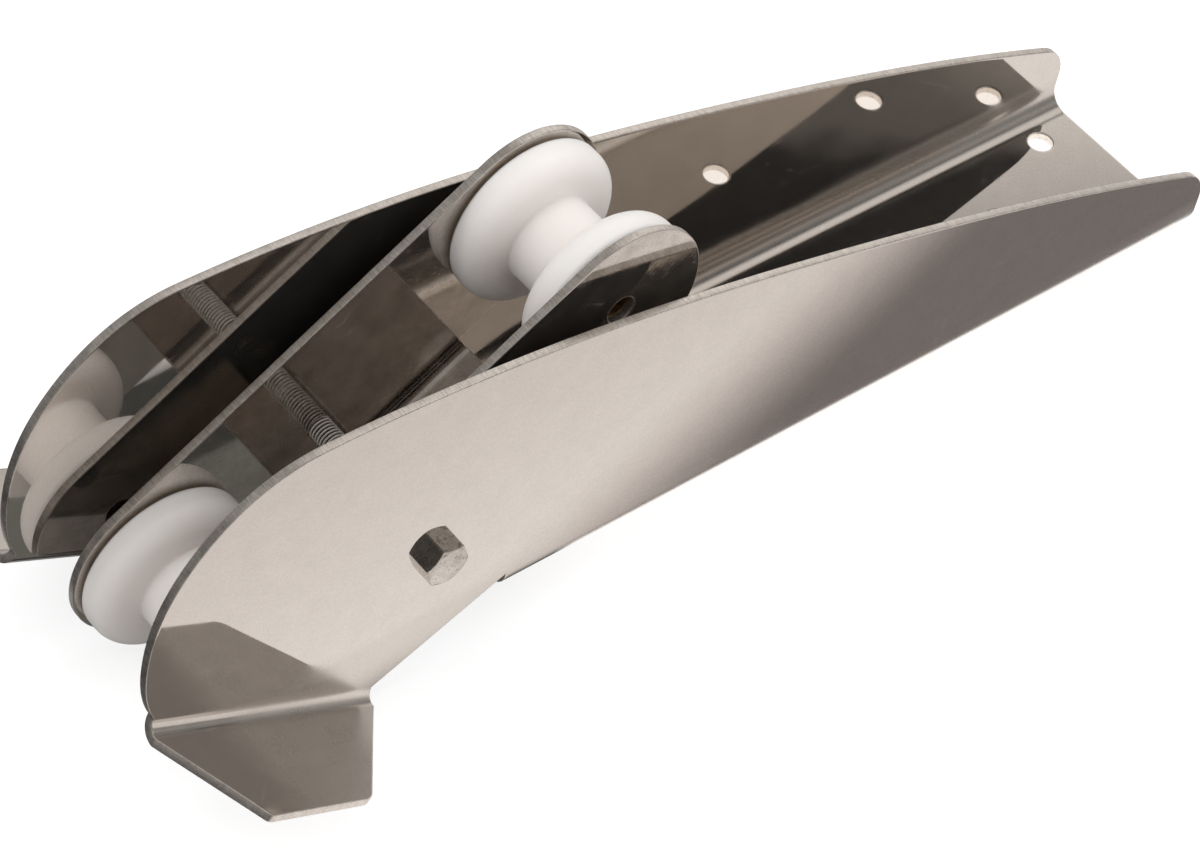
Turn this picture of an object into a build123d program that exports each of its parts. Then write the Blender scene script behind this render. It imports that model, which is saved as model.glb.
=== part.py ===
from build123d import *
from math import cos, radians, sin
import os

os.makedirs("parts", exist_ok=True)

# Frame: +X points ahead over the bow, +Y to port, +Z up.
# The origin is on the underside of the floor, midway between the two rear deck holes.

# Sheet metal shared by the base channel and the tilting arm
SHEET = 3.5
FLOOR_FOLD_RADIUS = 9.0
SMALL_FOLD_RADIUS = 5.0

# Base channel
BASE_WIDTH = 90.0
FLOOR_LENGTH = 370.0
REAR_HOLES_TO_EDGE = 22.0
REAR_HOLE_SPACING = 50.0
DECK_HOLE_DIAMETER = 11.0
FIRST_CENTRE_HOLE_X = 48.0
CENTRE_HOLE_SPACING = 87.0

# Side view of the base cheeks
CHEEK_REAR_HEIGHT = 33.0
CHEEK_REAR_SLOPE = 22.0
CHEEK_TOP_CORNER_RADIUS = 20.0
CHEEK_MIDDLE_HEIGHT = 100.5
CHEEK_MIDDLE_BEHIND_PIVOT = 197.5
CHEEK_PEAK_HEIGHT = 140.5
CHEEK_PEAK_PAST_PIVOT = 59.0
NOSE_SHOULDER_PAST_PIVOT = 110.0
NOSE_SHOULDER_DROP = 25.0
NOSE_REACH_PAST_PIVOT = 128.0
NOSE_DROP = 78.0
CHIN_SLOPE = 24.0

# Wings folded outwards at the lower front of the base cheeks
WING_RISE = 27.65
WING_REAR_PAST_PIVOT = 24.5
WING_REAR_BELOW_PIVOT = 66.4
WING_LENGTH = 114.0
WING_WIDTH = 47.8
WING_REAR_SWEEP = 39.0
WING_FRONT_SWEEP = 23.0
WING_REAR_CORNER_RADIUS = 8.0
WING_FRONT_CORNER_RADIUS = 3.0

# Tilting arm: along its top edge towards the front roller, and square to that from the pivot
PIVOT_PAST_FLOOR = 36.7
PIVOT_HEIGHT = 47.0
ARM_TO_NUT_GAP = 2.3
ARM_REST_ANGLE = 32.8
ARM_END_RADIUS = 36.4
AXLES_ABOVE_PIVOT = 13.9
FRONT_AXLE_AHEAD = 74.6
REAR_AXLE_BEHIND = 108.4
ARM_WEB_BELOW_PIVOT = 33.5
ARM_WEB_BEHIND = 60.0
ARM_WEB_AHEAD = 27.0

# Nylon rollers and their tube axles
ROLLER_DIAMETER = 69.0
ROLLER_SIDE_GAP = 0.9
GROOVE_DIAMETER = 37.0
FLANGE_WIDTH = 15.3
GROOVE_ROOT_RADIUS = 1.2
FLANGE_INNER_RADIUS = 9.0
FLANGE_OUTER_RADIUS = 2.5
AXLE_DIAMETER = 16.0
AXLE_BORE_DIAMETER = 12.0
ROLLER_RUNNING_CLEARANCE = 0.3

# Pivot bolt with its nuts and washer
BOLT_DIAMETER = 10.0
BOLT_TIP_PAST_NUT = 3.0
BOLT_TIP_CHAMFER = 1.0
ARM_RUNNING_CLEARANCE = 0.06
BASE_HOLE_CLEARANCE = 0.05
HEX_ACROSS_FLATS = 17.0
HEX_CORNER_CHAMFER = 1.0
HEAD_TURN_ANGLE = -12.0
HEAD_HEIGHT = 6.4
NUT_HEIGHT = 8.0
LOCK_NUT_HEIGHT = 10.0
LOCK_COLLAR_HEIGHT = 2.4
LOCK_COLLAR_WALL = 1.2
LOCK_RING_HEIGHT = 1.8
LOCK_RING_WALL = 1.6
WASHER_DIAMETER = 20.0
WASHER_THICKNESS = 2.0

# Worked out from the sizes above
half_width = BASE_WIDTH / 2
floor_fold_height = FLOOR_FOLD_RADIUS + SHEET
small_fold_height = SMALL_FOLD_RADIUS + SHEET
rear_edge_x = -REAR_HOLES_TO_EDGE
floor_front_x = rear_edge_x + FLOOR_LENGTH
pivot_x = floor_front_x + PIVOT_PAST_FLOOR
arm_half_width = half_width - SHEET - NUT_HEIGHT - ARM_TO_NUT_GAP
bolt_radius = BOLT_DIAMETER / 2
roller_half_width = arm_half_width - SHEET - ROLLER_SIDE_GAP
lock_nut_seat = half_width + WASHER_THICKNESS
bolt_tip = lock_nut_seat + LOCK_NUT_HEIGHT + BOLT_TIP_PAST_NUT

# Fold line of the port wing on the cheek's outer face, and the way square to it
fold_rear = Vector(pivot_x + WING_REAR_PAST_PIVOT, half_width, PIVOT_HEIGHT - WING_REAR_BELOW_PIVOT)
fold_along = Vector(cos(radians(WING_RISE)), 0, sin(radians(WING_RISE)))
fold_up = Vector(-sin(radians(WING_RISE)), 0, cos(radians(WING_RISE)))

# Places that turn a piece built upright so that its axis runs to port, and lay out the arm
to_port = Location((0, 0, 0), (-90, 0, 0))
to_starboard = Location((0, 0, 0), (90, 0, 0))
pivot_place = Location((pivot_x, 0, PIVOT_HEIGHT))
arm_place = Location((pivot_x, 0, PIVOT_HEIGHT), (0, ARM_REST_ANGLE, 0))
front_axle_place = Location((FRONT_AXLE_AHEAD, 0, AXLES_ABOVE_PIVOT))
rear_axle_place = Location((-REAR_AXLE_BEHIND, 0, AXLES_ABOVE_PIVOT))


def cheek_plate(outline, outer_y):
    """Port cheek of a channel: a side view in X and Z, thickened inwards by the sheet."""
    standing = Plane.XZ.offset(-outer_y) * outline
    return extrude(standing, SHEET)


def quarter_fold(inside_radius):
    """Section of a fold whose ring centre is the origin and whose metal lies right and below."""
    outside_radius = inside_radius + SHEET
    ring = Circle(outside_radius) - Circle(inside_radius)
    corner = Rectangle(outside_radius, outside_radius, align=(Align.MIN, Align.MAX))
    return ring & corner


def channel_bottom(outside_half_width, fold_height, rear_x, front_x):
    """Flat bottom of a folded channel and its two folds, with its underside at Z zero."""
    flat_half_width = outside_half_width - fold_height
    flat = Rectangle(2 * flat_half_width, SHEET, align=(Align.CENTER, Align.MIN))
    port_fold = Location((flat_half_width, fold_height)) * quarter_fold(fold_height - SHEET)
    section = flat + port_fold + mirror(port_fold, Plane.YZ)
    looking_ahead = Plane(origin=(rear_x, 0, 0), x_dir=(0, 1, 0), z_dir=(1, 0, 0))
    return extrude(looking_ahead * section, front_x - rear_x)


def both_sides(port_piece):
    """A port piece together with its mirror image to starboard."""
    return port_piece + mirror(port_piece, Plane.XZ)


def base_cheek_outline():
    """Side view of a base cheek, from the floor's fold forward to the fold of the wing."""
    wing_start = fold_rear + fold_up * SMALL_FOLD_RADIUS
    wing_end = wing_start + fold_along * WING_LENGTH
    foot_rear = (rear_edge_x, floor_fold_height)
    foot_front = (floor_front_x, floor_fold_height)
    top_rear = (rear_edge_x, CHEEK_REAR_HEIGHT)
    middle = (pivot_x - CHEEK_MIDDLE_BEHIND_PIVOT, CHEEK_MIDDLE_HEIGHT)
    peak = (pivot_x + CHEEK_PEAK_PAST_PIVOT, CHEEK_PEAK_HEIGHT)
    shoulder = (pivot_x + NOSE_SHOULDER_PAST_PIVOT, CHEEK_PEAK_HEIGHT - NOSE_SHOULDER_DROP)
    nose = (pivot_x + NOSE_REACH_PAST_PIVOT, CHEEK_PEAK_HEIGHT - NOSE_DROP)
    rear_slope = (cos(radians(CHEEK_REAR_SLOPE)), sin(radians(CHEEK_REAR_SLOPE)))
    chin_slope = (-sin(radians(CHIN_SLOPE)), -cos(radians(CHIN_SLOPE)))
    face = make_face(
        [
            Spline(top_rear, middle, peak, tangents=[rear_slope, (1, 0)]),
            Spline(peak, shoulder, nose, tangents=[(1, 0), (0, -1)]),
            Spline(nose, (wing_end.X, wing_end.Z), tangents=[(0, -1), chin_slope]),
            Line((wing_end.X, wing_end.Z), (wing_start.X, wing_start.Z)),
            Line((wing_start.X, wing_start.Z), foot_front),
            Line(foot_front, foot_rear),
            Line(foot_rear, top_rear),
        ]
    )
    rear_corners = face.vertices().group_by(Axis.X)[0].sort_by(Axis.Y)
    return fillet(rear_corners[-1], CHEEK_TOP_CORNER_RADIUS)


def port_wing():
    """Wing folded outwards from the lower front of the port cheek, with its fold."""
    section = mirror(quarter_fold(SMALL_FOLD_RADIUS), Plane.YZ)
    fold = Location((SMALL_FOLD_RADIUS, SMALL_FOLD_RADIUS)) * section
    looking_along = Plane(origin=fold_rear, x_dir=(0, 1, 0), z_dir=fold_along)
    outline = Polygon(
        (0, SMALL_FOLD_RADIUS),
        (WING_LENGTH, SMALL_FOLD_RADIUS),
        (WING_LENGTH - WING_FRONT_SWEEP, WING_WIDTH),
        (WING_REAR_SWEEP, WING_WIDTH),
        align=None,
    )
    tips = outline.vertices().group_by(Axis.Y)[-1].sort_by(Axis.X)
    outline = fillet(tips[0], WING_REAR_CORNER_RADIUS)
    tips = outline.vertices().group_by(Axis.Y)[-1].sort_by(Axis.X)
    outline = fillet(tips[-1], WING_FRONT_CORNER_RADIUS)
    upper_face = Plane(origin=fold_rear, x_dir=fold_along, z_dir=fold_up)
    return extrude(looking_along * fold, WING_LENGTH) + extrude(upper_face * outline, -SHEET)


def base_channel():
    """Folded base: floor with deck holes, two curved cheeks and two wings."""
    floor = channel_bottom(half_width, floor_fold_height, rear_edge_x, floor_front_x)
    cheek = cheek_plate(base_cheek_outline(), half_width)
    body = floor + both_sides(cheek + port_wing())
    body -= pivot_place * to_port * Cylinder(bolt_radius + BASE_HOLE_CLEARANCE, 2 * BASE_WIDTH)
    second_centre_hole_x = FIRST_CENTRE_HOLE_X + CENTRE_HOLE_SPACING
    for x, y in (
        (0, REAR_HOLE_SPACING / 2),
        (0, -REAR_HOLE_SPACING / 2),
        (FIRST_CENTRE_HOLE_X, 0),
        (second_centre_hole_x, 0),
    ):
        body -= Location((x, y, SHEET / 2)) * Cylinder(DECK_HOLE_DIAMETER / 2, 2 * SHEET)
    return body


def arm_cheek_outline():
    """Side view of an arm cheek: the hull of its two round ends and the strip over its web."""
    strip_bottom = small_fold_height - ARM_WEB_BELOW_PIVOT
    strip = Polygon(
        (-ARM_WEB_BEHIND, strip_bottom),
        (ARM_WEB_AHEAD, strip_bottom),
        (ARM_WEB_AHEAD, AXLES_ABOVE_PIVOT),
        (-ARM_WEB_BEHIND, AXLES_ABOVE_PIVOT),
        align=None,
    )
    front_end = Location((FRONT_AXLE_AHEAD, AXLES_ABOVE_PIVOT)) * Circle(ARM_END_RADIUS)
    rear_end = Location((-REAR_AXLE_BEHIND, AXLES_ABOVE_PIVOT)) * Circle(ARM_END_RADIUS)
    return make_hull(strip.edges() + front_end.edges() + rear_end.edges())


def tilting_arm():
    """Folded arm, open below both rollers, with holes for the pivot and the two axles."""
    web = channel_bottom(arm_half_width, small_fold_height, -ARM_WEB_BEHIND, ARM_WEB_AHEAD)
    body = Location((0, 0, -ARM_WEB_BELOW_PIVOT)) * web
    body += both_sides(cheek_plate(arm_cheek_outline(), arm_half_width))
    body -= to_port * Cylinder(bolt_radius + ARM_RUNNING_CLEARANCE, 2 * BASE_WIDTH)
    for place in (front_axle_place, rear_axle_place):
        body -= place * to_port * Cylinder(AXLE_DIAMETER / 2, 2 * BASE_WIDTH)
    return arm_place * body


def roller(place):
    """Grooved nylon roller turned about its axle, rim and groove rounded."""
    bore_radius = AXLE_DIAMETER / 2 + ROLLER_RUNNING_CLEARANCE
    rim_radius = ROLLER_DIAMETER / 2
    root_radius = GROOVE_DIAMETER / 2
    groove_side = roller_half_width - FLANGE_WIDTH
    blank = Rectangle(rim_radius - bore_radius, 2 * roller_half_width, align=(Align.MIN, Align.CENTER))
    groove = Rectangle(rim_radius - root_radius, 2 * groove_side, align=(Align.MIN, Align.CENTER))
    profile = Location((bore_radius, 0)) * blank - Location((root_radius, 0)) * groove
    roots = profile.vertices().filter_by(lambda v: abs(v.X - root_radius) < 0.01)
    profile = fillet(roots, GROOVE_ROOT_RADIUS)
    rims = profile.vertices().filter_by(lambda v: v.X > rim_radius - 0.01)
    inner_rims = rims.filter_by(lambda v: abs(v.Y) < groove_side + 0.01)
    profile = fillet(inner_rims, FLANGE_INNER_RADIUS)
    corners = profile.vertices().filter_by(lambda v: abs(v.Y) > roller_half_width - 0.01)
    outer_rims = corners.filter_by(lambda v: v.X > rim_radius - 0.01)
    profile = fillet(outer_rims, FLANGE_OUTER_RADIUS)
    return arm_place * place * revolve(profile, Axis.Y)


def tube_axle(place):
    """Tube that a roller turns on, its ends flush with the outer faces of the arm."""
    length = 2 * arm_half_width
    tube = Cylinder(AXLE_DIAMETER / 2, length) - Cylinder(AXLE_BORE_DIAMETER / 2, length)
    return arm_place * place * to_port * tube


def standing_cylinder(radius, height):
    """Upright cylinder with its foot at Z zero."""
    return Cylinder(radius, height, align=(Align.CENTER, Align.CENTER, Align.MIN))


def hex_blank(height, chamfer_both_ends):
    """Upright hexagon with its foot at Z zero and its outer corners turned down."""
    hexagon = RegularPolygon(HEX_ACROSS_FLATS / 2, 6, major_radius=False)
    prism = extrude(hexagon, height)
    corner_radius = HEX_ACROSS_FLATS / 2 / cos(radians(30))
    turned = standing_cylinder(corner_radius, height)
    rims = turned.edges().filter_by(GeomType.CIRCLE).sort_by(Axis.Z)
    turned_rims = rims if chamfer_both_ends else rims[-1:]
    drop = HEX_CORNER_CHAMFER
    return prism & chamfer(turned_rims, drop, drop * 2)


def pivot_bolt():
    """Bolt from the port side, its head on the port cheek and its tip past the lock nut."""
    head = Location((0, 0, half_width), (0, 0, HEAD_TURN_ANGLE)) * hex_blank(HEAD_HEIGHT, False)
    shank = Location((0, 0, half_width)) * Cylinder(
        bolt_radius, half_width + bolt_tip, align=(Align.CENTER, Align.CENTER, Align.MAX)
    )
    tip = shank.edges().filter_by(GeomType.CIRCLE).sort_by(Axis.Z)[0]
    shank = chamfer(tip, BOLT_TIP_CHAMFER)
    return pivot_place * to_port * (head + shank)


def inner_nut(turned_out):
    """Nut on the bolt against the inner face of a base cheek, seen from the centre outwards."""
    seat = half_width - SHEET - NUT_HEIGHT
    nut = hex_blank(NUT_HEIGHT, True) - standing_cylinder(bolt_radius, NUT_HEIGHT)
    return pivot_place * turned_out * Location((0, 0, seat)) * nut


def washer():
    """Plain washer on the outer face of the starboard cheek."""
    disc = standing_cylinder(WASHER_DIAMETER / 2, WASHER_THICKNESS)
    ring = disc - standing_cylinder(bolt_radius, WASHER_THICKNESS)
    return pivot_place * to_starboard * Location((0, 0, half_width)) * ring


def lock_nut():
    """Lock nut whose round collar has a pocket for the nylon ring."""
    hex_height = LOCK_NUT_HEIGHT - LOCK_COLLAR_HEIGHT
    pocket_radius = bolt_radius + LOCK_RING_WALL
    nut = hex_blank(hex_height, True) + standing_cylinder(pocket_radius + LOCK_COLLAR_WALL, LOCK_NUT_HEIGHT)
    nut -= Location((0, 0, hex_height)) * standing_cylinder(pocket_radius, LOCK_RING_HEIGHT)
    nut -= standing_cylinder(bolt_radius, LOCK_NUT_HEIGHT)
    return pivot_place * to_starboard * Location((0, 0, lock_nut_seat)) * nut


def lock_ring():
    """Nylon ring that fills the pocket in the lock nut and grips the bolt."""
    ring = standing_cylinder(bolt_radius + LOCK_RING_WALL, LOCK_RING_HEIGHT)
    ring -= standing_cylinder(bolt_radius, LOCK_RING_HEIGHT)
    seat = lock_nut_seat + LOCK_NUT_HEIGHT - LOCK_COLLAR_HEIGHT
    return pivot_place * to_starboard * Location((0, 0, seat)) * ring


nodes = {
    "base_channel": base_channel(),
    "tilting_arm": tilting_arm(),
    "front_roller": roller(front_axle_place),
    "rear_roller": roller(rear_axle_place),
    "front_axle": tube_axle(front_axle_place),
    "rear_axle": tube_axle(rear_axle_place),
    "pivot_bolt": pivot_bolt(),
    "port_inner_nut": inner_nut(to_port),
    "starboard_inner_nut": inner_nut(to_starboard),
    "washer": washer(),
    "lock_nut": lock_nut(),
    "lock_nut_ring": lock_ring(),
}
for name, piece in nodes.items():
    export_step(piece, f"parts/{name}.step")
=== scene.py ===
# %% [markdown]
# # Tilting bow roller: from a checked frame to a finished picture
# A bow roller guides an anchor and its chain over the front of a boat. This one is a folded
# channel of polished stainless steel with a smaller folded arm inside it. The arm turns on one
# long bolt and carries a white nylon roller at each end.
# The imported CAD model is the fixed frame, and we load it first. Every piece made below has to
# stay inside that box.

import bmesh
import bpy
import numpy as np
from mathutils import Matrix, Vector
from mathutils.geometry import delaunay_2d_cdt


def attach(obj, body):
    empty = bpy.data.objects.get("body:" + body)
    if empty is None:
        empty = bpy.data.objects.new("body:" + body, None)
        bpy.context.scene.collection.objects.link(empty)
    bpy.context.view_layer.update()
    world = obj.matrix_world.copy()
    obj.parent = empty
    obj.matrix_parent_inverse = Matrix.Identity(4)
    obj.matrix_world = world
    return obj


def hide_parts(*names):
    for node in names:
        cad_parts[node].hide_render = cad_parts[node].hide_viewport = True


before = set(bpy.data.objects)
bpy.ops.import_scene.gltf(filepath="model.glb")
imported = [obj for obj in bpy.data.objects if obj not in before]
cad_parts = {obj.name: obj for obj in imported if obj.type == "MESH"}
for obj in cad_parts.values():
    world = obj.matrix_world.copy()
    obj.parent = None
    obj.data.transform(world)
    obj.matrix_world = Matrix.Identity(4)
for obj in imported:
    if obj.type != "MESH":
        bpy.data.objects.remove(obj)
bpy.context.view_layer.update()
print("frame nodes:", sorted(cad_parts))

# %% [markdown]
# ## Sizes
# The fabricator works in millimetres and Blender in metres. All sizes stay in millimetres here,
# and one function at the end of each shape turns them into metres.
# X points ahead over the bow, Y to port and Z up. The origin lies on the underside of the floor,
# midway between the two rear deck holes.

# %% Sizes of the two folded sheets
MM = 0.001
SHEET = 3.5
SMALL_RADIUS = 5.0
FLOOR_RADIUS = 9.0
SMALL_HEIGHT = SMALL_RADIUS + SHEET
FLOOR_HEIGHT = FLOOR_RADIUS + SHEET
SMALL_MIDDLE = SMALL_RADIUS + SHEET / 2
FLOOR_MIDDLE = FLOOR_RADIUS + SHEET / 2
SMALL_RUN = SMALL_MIDDLE * np.pi / 2
FLOOR_RUN = FLOOR_MIDDLE * np.pi / 2

BASE_HALF_WIDTH = 45.0
FLOOR_REAR = -22.0
FLOOR_FRONT = 348.0
PIVOT = np.array([384.7, 47.0])
ARM_HALF_WIDTH = 31.2
ARM_ANGLE = np.radians(32.8)
print("sheet in a floor fold and in a small fold, mm:", round(FLOOR_RUN, 2), round(SMALL_RUN, 2))

# %% [markdown]
# ## The camera
# The picture was taken with a long lens from above the front port quarter, and the camera was
# turned a little about its own axis. Its place and its three directions were worked out from the
# object's straight edges, its holes and their mirror images.
# A camera in Blender looks along its own minus Z, so the matrix has the directions right, up and
# back as its columns.

# %% Camera
CAMERA_PLACE = Vector((1.00784, 0.66980, 1.09661))
CAMERA_RIGHT = Vector((-0.76980, 0.62229, 0.14203))
CAMERA_BACK = Vector((0.50066, 0.45065, 0.73909))

camera = bpy.data.objects.new("camera", bpy.data.cameras.new("camera"))
bpy.context.scene.collection.objects.link(camera)
right = CAMERA_RIGHT.normalized()
up = CAMERA_BACK.cross(right).normalized()
turned = Matrix((right, up, right.cross(up))).transposed()
camera.matrix_world = Matrix.Translation(CAMERA_PLACE) @ turned.to_4x4()
camera.data.sensor_width = 36.0
camera.data.lens = 114.11
camera.data.clip_start = 0.05
bpy.context.scene.camera = camera
bpy.context.scene.view_settings.view_transform = "Standard"
print("camera stands", round(CAMERA_PLACE.length, 3), "m from the origin")

# %% [markdown]
# ## Helpers for meshes
# Every new piece is computed as whole arrays of points and faces. One helper puts the arrays into
# a mesh, merges points that lie on each other and smooths the shading.

# %% Mesh helper
MERGE_DISTANCE = 2e-7


def solid(name, points, faces, finishes=None):
    """Makes an object from points in millimetres and faces, and points all faces outwards."""
    mesh = bpy.data.meshes.new(name)
    mesh.from_pydata((np.asarray(points) * MM).tolist(), [], [list(f) for f in faces])
    if finishes is not None:
        mesh.polygons.foreach_set("material_index", np.asarray(finishes, np.int32))
    work = bmesh.new()
    work.from_mesh(mesh)
    bmesh.ops.remove_doubles(work, verts=work.verts, dist=MERGE_DISTANCE)
    bmesh.ops.recalc_face_normals(work, faces=work.faces)
    work.to_mesh(mesh)
    open_edges = sum(1 for e in work.edges if len(e.link_faces) != 2)
    work.free()
    mesh.polygons.foreach_set("use_smooth", np.ones(len(mesh.polygons), bool))
    piece = bpy.data.objects.new(name, mesh)
    bpy.context.scene.collection.objects.link(piece)
    counts = f"{len(mesh.vertices)} points, {len(mesh.polygons)} faces, {open_edges} open edges"
    print(f"{name}: {counts}")
    return piece


def grid_faces(rows, columns, close_rows, close_columns):
    """Quads of a grid of points numbered row by row, joined round where it closes."""
    row = np.arange(rows if close_rows else rows - 1)[:, None]
    column = np.arange(columns if close_columns else columns - 1)[None, :]
    row_next = (row + 1) % rows
    column_next = (column + 1) % columns
    corners = [
        row * columns + column,
        row * columns + column_next,
        row_next * columns + column_next,
        row_next * columns + column,
    ]
    return np.stack([np.broadcast_to(c, (len(row), column.shape[1])).ravel() for c in corners], 1)


# %% Outline helpers
def divide(corners, step):
    """Points along straight runs between corners, no further apart than step."""
    corners = np.asarray(corners, float)
    runs = []
    for start, end in zip(corners[:-1], corners[1:]):
        count = max(1, int(np.ceil(np.linalg.norm(end - start) / step)))
        share = np.arange(count)[:, None] / count
        runs.append(start + (end - start) * share)
    return np.concatenate(runs + [corners[-1:]])


def round_corner(before, corner, after, radius, steps=10):
    """Arc of the given radius that touches both straight runs at a corner."""
    before, corner, after = (np.asarray(p, float) for p in (before, corner, after))
    into = (before - corner) / np.linalg.norm(before - corner)
    out = (after - corner) / np.linalg.norm(after - corner)
    half = np.arccos(np.clip(into @ out, -1, 1)) / 2
    middle = into + out
    centre = corner + middle / np.linalg.norm(middle) * radius / np.sin(half)
    first = corner + into * radius / np.tan(half) - centre
    last = corner + out * radius / np.tan(half) - centre
    sweep = np.pi - 2 * half
    share = np.linspace(0, 1, steps + 1)[:, None]
    of_first, of_last = np.sin((1 - share) * sweep), np.sin(share * sweep)
    return centre + (of_first * first + of_last * last) / np.sin(sweep)


def smooth_curve(points, start_way, end_way, steps=40):
    """Cubic curve through two or three points with given ways at its ends.

    Between two points it is a Hermite cubic. At a middle point the slope is the one that makes
    the second derivatives of both cubics agree, with the chord lengths as parameters.
    """
    points = np.asarray(points, float)
    chords = np.linalg.norm(np.diff(points, axis=0), axis=1)
    first = np.asarray(start_way, float) / np.linalg.norm(start_way)
    last = np.asarray(end_way, float) / np.linalg.norm(end_way)
    if len(points) == 2:
        slopes = [first, last]
    else:
        slope_a, slope_b = (points[1] - points[0]) / chords[0], (points[2] - points[1]) / chords[1]
        bend = (slope_b - slope_a) / chords.sum()
        first = first * np.linalg.norm(slope_a - bend * chords[0])
        last = last * np.linalg.norm(slope_b + bend * chords[1])
        pull = 3 * (slope_a * chords[1] + slope_b * chords[0])
        middle = (pull - first * chords[1] - last * chords[0]) / (2 * chords.sum())
        slopes = [first, middle, last]
    share = np.linspace(0, 1, steps + 1)[:, None]
    pieces = []
    for i, chord in enumerate(chords):
        pieces.append(
            points[i] * (1 + 2 * share) * (1 - share) ** 2
            + slopes[i] * chord * share * (1 - share) ** 2
            + points[i + 1] * share**2 * (3 - 2 * share)
            + slopes[i + 1] * chord * share**2 * (share - 1)
        )
    return np.concatenate([p[:-1] for p in pieces] + [points[-1:]])


def circle(centre, radius, steps=48, start=0.0, turn=2 * np.pi):
    """Points on an arc or a full ring, going clockwise for a negative turn."""
    angle = start + turn * np.arange(steps) / steps
    return np.asarray(centre) + radius * np.stack([np.cos(angle), np.sin(angle)], 1)


# %% [markdown]
# ## Folded sheet
# The real channel is cut flat and then folded in a press. The mesh is made the same way: first the
# flat blank with all its holes, then every point is carried to its folded place.
# A solidify modifier could thicken a bent surface, but then its edges are square and catch no
# light. Here the small rounded edge is a profile of depth and thickness carried round the outline
# of the blank, so the polished edge shows its thin bright line.
# Only the port half is made. It ends at the centre line, and its mirror image is joined there.

# %% Sizes of the rim and of the mesh
SOFT_EDGE = 0.45
RIM_WIDTH = SOFT_EDGE + 0.5
RIM_CLEARANCE = 0.7
STRAIGHT_STEP = 2.0
FOLD_STEP = 0.7
CORNER_LIMIT = 0.35
ON_LINE = 1e-6
TRIANGLE_TOLERANCE = 1e-7
POINTS_AT_ONCE = 1000
print("the rim's rounding and its whole width, mm:", SOFT_EDGE, RIM_WIDTH)


# %% Blank and rounded edge
def inward(loop):
    """For each outline point, the way into the metal, long enough to keep an even offset.

    At a sharp corner the length is held back by CORNER_LIMIT.
    """
    on_middle = np.abs(loop[:, 1]) < ON_LINE
    to_next = np.roll(loop, -1, axis=0) - loop
    to_next /= np.linalg.norm(to_next, axis=1)[:, None]
    after = np.stack([-to_next[:, 1], to_next[:, 0]], 1)
    before = np.roll(after, 1, axis=0)
    both = before + after
    way = both / np.maximum(1 + (before * after).sum(1), CORNER_LIMIT)[:, None]
    next_on_middle = on_middle & np.roll(on_middle, -1)
    last_on_middle = on_middle & np.roll(on_middle, 1)
    way = np.where(next_on_middle[:, None], before, way)
    way = np.where(last_on_middle[:, None], after, way)
    way[on_middle, 1] = 0
    way[on_middle] = np.sign(np.round(way[on_middle], 6))
    way[next_on_middle & last_on_middle] = 0
    return way, next_on_middle


def is_inside(points, loops):
    """Even-odd test: counts how often a ray from each point crosses the loops."""
    crossings = np.zeros(len(points), int)
    for loop in loops:
        start, end = loop, np.roll(loop, -1, axis=0)
        for first in range(0, len(points), POINTS_AT_ONCE):
            block = slice(first, first + POINTS_AT_ONCE)
            x, y = points[block, 0:1], points[block, 1:2]
            spans = (start[:, 1] > y) != (end[:, 1] > y)
            height = np.where(end[:, 1] == start[:, 1], 1.0, end[:, 1] - start[:, 1])
            meets = start[:, 0] + (y - start[:, 1]) * (end[:, 0] - start[:, 0]) / height
            crossings[block] += (spans & (x < meets)).sum(1)
    return crossings % 2 == 1


def clear_of(points, loops, distance):
    """Tells which points are further than distance from every outline point."""
    keep = np.ones(len(points), bool)
    edge = np.concatenate(loops)
    for first in range(0, len(points), POINTS_AT_ONCE):
        block = slice(first, first + POINTS_AT_ONCE)
        gap = np.linalg.norm(points[block, None] - edge[None], axis=2)
        keep[block] = gap.min(1) > distance
    return keep


def edge_profile(steps=4):
    """Inset and height of the rounded edge, from the inner face over the rim to the outer face.

    Both are a quarter circle of the soft edge's radius, mirrored about the sheet's middle. The
    first and last points lie a little further in, on the flat faces.
    """
    angle = np.linspace(0, np.pi / 2, steps + 1)
    inset = SOFT_EDGE * (1 - np.sin(angle))
    height = SHEET / 2 - SOFT_EDGE * (1 - np.cos(angle))
    inset = np.concatenate([[RIM_WIDTH], inset])
    height = np.concatenate([[SHEET / 2], height])
    return np.concatenate([inset, inset[::-1]]), np.concatenate([height, -height[::-1]])


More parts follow.
